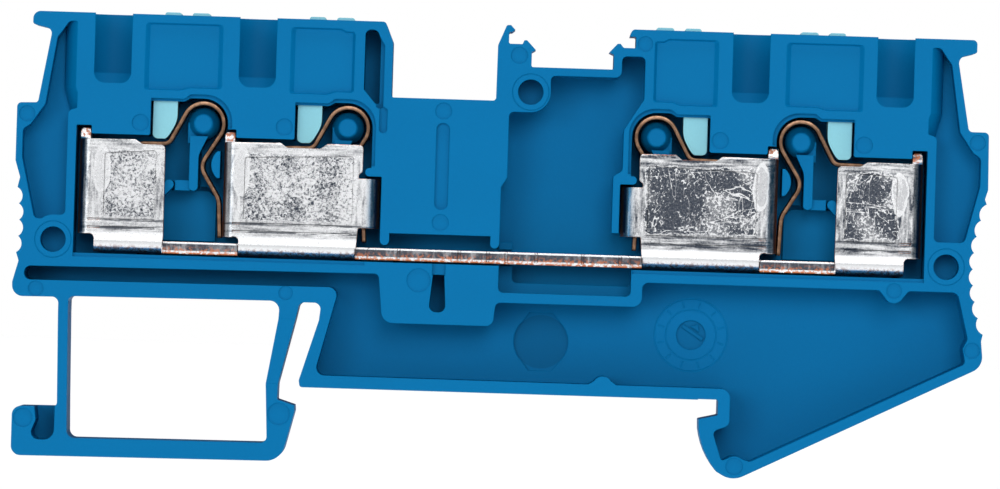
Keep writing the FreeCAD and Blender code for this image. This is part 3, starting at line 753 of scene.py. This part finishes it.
class MakeStage(bpy.types.Operator):
    """Set up the floor, the soft light and the camera"""

    bl_idname = "terminal_block.make_stage"
    bl_label = "Stage"

    def execute(self, context):
        add_floor()
        for light in LIGHTS:
            add_sun(*light)
        add_world()
        add_camera()
        return {"FINISHED"}


def add_floor():
    half = 6.0
    work = bmesh.new()
    bmesh.ops.create_grid(work, x_segments=2, y_segments=2, size=half)
    mesh = bpy.data.meshes.new("floor")
    work.to_mesh(mesh)
    work.free()
    floor = add_mesh("floor", mesh)
    floor.location.z = CAD_LOW.z - settings().stage.drop
    dress(floor, pale_floor())


def add_sun(name, place, power, spread):
    """Far soft light that shines from place towards the block, spread degrees wide."""
    light = bpy.data.lights.new(name, "SUN")
    light.energy = power
    light.angle = math.radians(spread)
    lamp = bpy.data.objects.new(name, light)
    lamp.location = place
    lamp.rotation_euler = (-lamp.location).to_track_quat("-Z", "Y").to_euler()
    bpy.context.scene.collection.objects.link(lamp)


def add_world(light=0.2):
    """White room that the camera sees white and that lights the block softly."""
    world = bpy.data.worlds.new("white room")
    world.use_nodes = True
    nodes = world.node_tree.nodes
    seen = nodes.new("ShaderNodeLightPath")
    strength = nodes.new("ShaderNodeMapRange")
    strength.inputs["To Min"].default_value = light
    world.node_tree.links.new(seen.outputs["Is Camera Ray"], strength.inputs["Value"])
    world.node_tree.links.new(strength.outputs[0], nodes["Background"].inputs["Strength"])
    nodes["Background"].inputs["Color"].default_value = (1.0, 1.0, 1.0, 1.0)
    bpy.context.scene.world = world
    bpy.context.scene.view_settings.view_transform = "Standard"


def add_camera():
    """Camera square to the open side, with a small roll."""
    look = settings().stage
    camera = bpy.data.cameras.new("camera")
    camera.lens = camera.sensor_width * look.distance / look.width
    camera.clip_end = 20.0
    right = Vector((math.cos(look.roll), 0, math.sin(look.roll)))
    up = Vector((-math.sin(look.roll), 0, math.cos(look.roll)))
    turn = Matrix((right, up, (0, -1, 0))).transposed()
    holder = bpy.data.objects.new("camera", camera)
    place = Vector((look.across, CAD_LOW.y - look.distance, look.height))
    holder.matrix_world = Matrix.Translation(place) @ turn.to_4x4()
    bpy.context.scene.collection.objects.link(holder)
    bpy.context.scene.camera = holder


OPERATORS = (MakeHousing, MakeRailLatch, MakeCurrentBar, MakeSprings, MakeButtons, MakeStage)


class TerminalBlockSettings(bpy.types.PropertyGroup):
    plastic: PointerProperty(type=PlasticLook, name="Plastic", description="Moulded parts")
    metal: PointerProperty(type=MetalLook, name="Metal", description="Bar and springs")
    spring: PointerProperty(type=SpringShape, name="Spring", description="Shape of the springs")
    latch: PointerProperty(type=LatchShape, name="Latch", description="Legs of the rail latch")
    stage: PointerProperty(type=StageLook, name="Stage", description="Floor and camera")


class TerminalBlockPanel(bpy.types.Panel):
    """Lists the settings and the makers of the pieces"""

    bl_idname = "VIEW3D_PT_terminal_block"
    bl_label = "Terminal Block"
    bl_space_type = "VIEW_3D"
    bl_region_type = "UI"
    bl_category = "Terminal Block"

    def draw(self, context):
        chosen = settings()
        for group in (chosen.plastic, chosen.metal, chosen.spring, chosen.latch, chosen.stage):
            for name in group.__annotations__:
                self.layout.prop(group, name)
        for operator in OPERATORS:
            self.layout.operator(operator.bl_idname)


CLASSES = (PlasticLook, MetalLook, SpringShape, LatchShape, StageLook, TerminalBlockSettings,
           *OPERATORS, TerminalBlockPanel)


def register():
    for one in CLASSES:
        bpy.utils.register_class(one)
    bpy.types.Scene.terminal_block = PointerProperty(type=TerminalBlockSettings)


def unregister():
    del bpy.types.Scene.terminal_block
    for one in reversed(CLASSES):
        bpy.utils.unregister_class(one)


def main():
    register()
    for operator in OPERATORS:
        group, name = operator.bl_idname.split(".")
        getattr(getattr(bpy.ops, group), name)()


if __name__ == "__main__":
    main()
